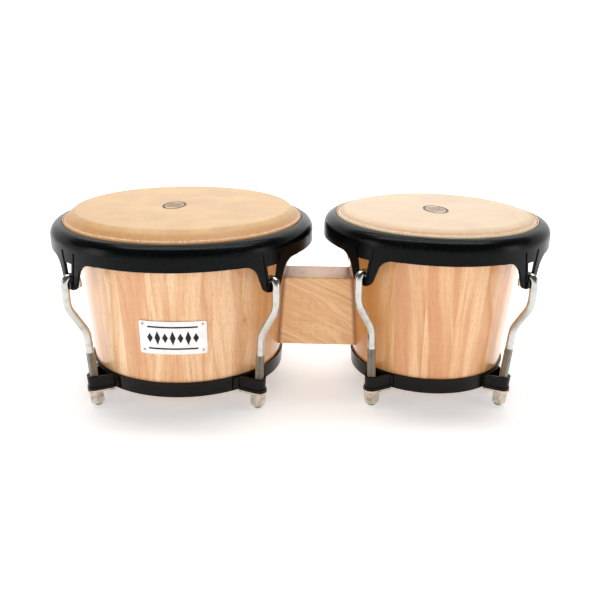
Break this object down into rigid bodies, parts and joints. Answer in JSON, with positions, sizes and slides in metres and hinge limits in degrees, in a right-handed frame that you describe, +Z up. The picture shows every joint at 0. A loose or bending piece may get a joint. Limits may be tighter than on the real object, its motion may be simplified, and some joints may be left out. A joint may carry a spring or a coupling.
{
  "type": "bongo drums",
  "caption": "Pair of tapered staved wooden bongo drums joined by a centre block, with hide heads, black rims, chrome tuning hooks and black bottom rings.",
  "frame": {"origin": "on the ground under the middle of the pair's overall box", "axes": "+Z up towards the heads, +X from the large drum to the small drum, -Y the side with the badge"},
  "size_m": [0.4612, 0.2428, 0.1722],
  "materials": {
    "shell_wood": "clear gloss varnish over staved hardwood",
    "block_wood": "clear satin varnish",
    "hembra_head_skin": "natural rawhide, satin",
    "macho_head_skin": "natural rawhide, slightly glossy",
    "hoop_steel": "bare round wire",
    "black_steel": "satin black powder coat",
    "chrome_rod": "polished chrome plate",
    "nickel": "warm nickel plate",
    "zinc_steel": "zinc plate",
    "insert_brass": "bare brass",
    "badge_metal": "satin silver sheet",
    "nail_steel": "polished pin"
  },
  "bodies": {
    "drum_body": {"hembra_shell": "shell_wood", "hembra_head_skin": "hembra_head_skin", "hembra_bottom_ring": "black_steel", "hembra_lug_plates": "nickel", "hembra_block_bolts": "zinc_steel", "hembra_block_washers": "zinc_steel", "macho_shell": "shell_wood", "macho_head_skin": "macho_head_skin", "macho_bottom_ring": "black_steel", "macho_lug_plates": "nickel", "macho_block_bolts": "zinc_steel", "macho_block_washers": "zinc_steel", "centre_block": "block_wood", "block_inserts": "insert_brass", "badge_plate": "badge_metal", "badge_nails": "nail_steel"},
    "hembra_tension_set": {"hembra_rim": "black_steel", "hembra_flesh_hoop": "hoop_steel", "hembra_hook_1": "chrome_rod", "hembra_hook_2": "chrome_rod", "hembra_hook_3": "chrome_rod", "hembra_hook_4": "chrome_rod"},
    "hembra_nut_1_body": {"hembra_nut_1": "nickel"},
    "hembra_nut_2_body": {"hembra_nut_2": "nickel"},
    "hembra_nut_3_body": {"hembra_nut_3": "nickel"},
    "hembra_nut_4_body": {"hembra_nut_4": "nickel"},
    "macho_tension_set": {"macho_rim": "black_steel", "macho_flesh_hoop": "hoop_steel", "macho_hook_1": "chrome_rod", "macho_hook_2": "chrome_rod", "macho_hook_3": "chrome_rod", "macho_hook_4": "chrome_rod"},
    "macho_nut_1_body": {"macho_nut_1": "nickel"},
    "macho_nut_2_body": {"macho_nut_2": "nickel"},
    "macho_nut_3_body": {"macho_nut_3": "nickel"},
    "macho_nut_4_body": {"macho_nut_4": "nickel"}
  },
  "joints": [
    {"name": "hembra_rim_slide", "type": "slide", "parent": "drum_body", "child": "hembra_tension_set", "axis": [0, 0, -1], "range_m": [-0.003, 0.003]},
    {"name": "hembra_nut_1_turn", "type": "hinge", "parent": "drum_body", "child": "hembra_nut_1_body", "pos_m": [-0.03594, 0.07461, 0.00902], "axis": [0.0488, 0.0496, 0.9976], "range_deg": [-865, 865]},
    {"name": "hembra_nut_2_turn", "type": "hinge", "parent": "drum_body", "child": "hembra_nut_2_body", "pos_m": [-0.18385, 0.07331, 0.00902], "axis": [-0.0496, 0.0488, 0.9976], "range_deg": [-865, 865]},
    {"name": "hembra_nut_3_turn", "type": "hinge", "parent": "drum_body", "child": "hembra_nut_3_body", "pos_m": [-0.18256, -0.07461, 0.00902], "axis": [-0.0488, -0.0496, 0.9976], "range_deg": [-865, 865]},
    {"name": "hembra_nut_4_turn", "type": "hinge", "parent": "drum_body", "child": "hembra_nut_4_body", "pos_m": [-0.03465, -0.07331, 0.00902], "axis": [0.0496, -0.0488, 0.9976], "range_deg": [-865, 865]},
    {"name": "macho_rim_slide", "type": "slide", "parent": "drum_body", "child": "macho_tension_set", "axis": [0, 0, -1], "range_m": [-0.003, 0.003]},
    {"name": "macho_nut_1_turn", "type": "hinge", "parent": "drum_body", "child": "macho_nut_1_body", "pos_m": [0.18351, 0.06304, 0.00903], "axis": [0.0519, 0.0576, 0.997], "range_deg": [-865, 865]},
    {"name": "macho_nut_2_turn", "type": "hinge", "parent": "drum_body", "child": "macho_nut_2_body", "pos_m": [0.06371, 0.05676, 0.00903], "axis": [-0.0576, 0.0519, 0.997], "range_deg": [-865, 865]},
    {"name": "macho_nut_3_turn", "type": "hinge", "parent": "drum_body", "child": "macho_nut_3_body", "pos_m": [0.06999, -0.06304, 0.00903], "axis": [-0.0519, -0.0576, 0.997], "range_deg": [-865, 865]},
    {"name": "macho_nut_4_turn", "type": "hinge", "parent": "drum_body", "child": "macho_nut_4_body", "pos_m": [0.18979, -0.05676, 0.00903], "axis": [0.0576, -0.0519, 0.997], "range_deg": [-865, 865]}
  ],
  "couplings": [
    {"joint": "hembra_nut_1_turn", "follows": "hembra_rim_slide", "rad_per_m": 5014.4},
    {"joint": "hembra_nut_2_turn", "follows": "hembra_rim_slide", "rad_per_m": 5014.4},
    {"joint": "hembra_nut_3_turn", "follows": "hembra_rim_slide", "rad_per_m": 5014.4},
    {"joint": "hembra_nut_4_turn", "follows": "hembra_rim_slide", "rad_per_m": 5014.4},
    {"joint": "macho_nut_1_turn", "follows": "macho_rim_slide", "rad_per_m": 5011.4},
    {"joint": "macho_nut_2_turn", "follows": "macho_rim_slide", "rad_per_m": 5011.4},
    {"joint": "macho_nut_3_turn", "follows": "macho_rim_slide", "rad_per_m": 5011.4},
    {"joint": "macho_nut_4_turn", "follows": "macho_rim_slide", "rad_per_m": 5011.4}
  ]
}
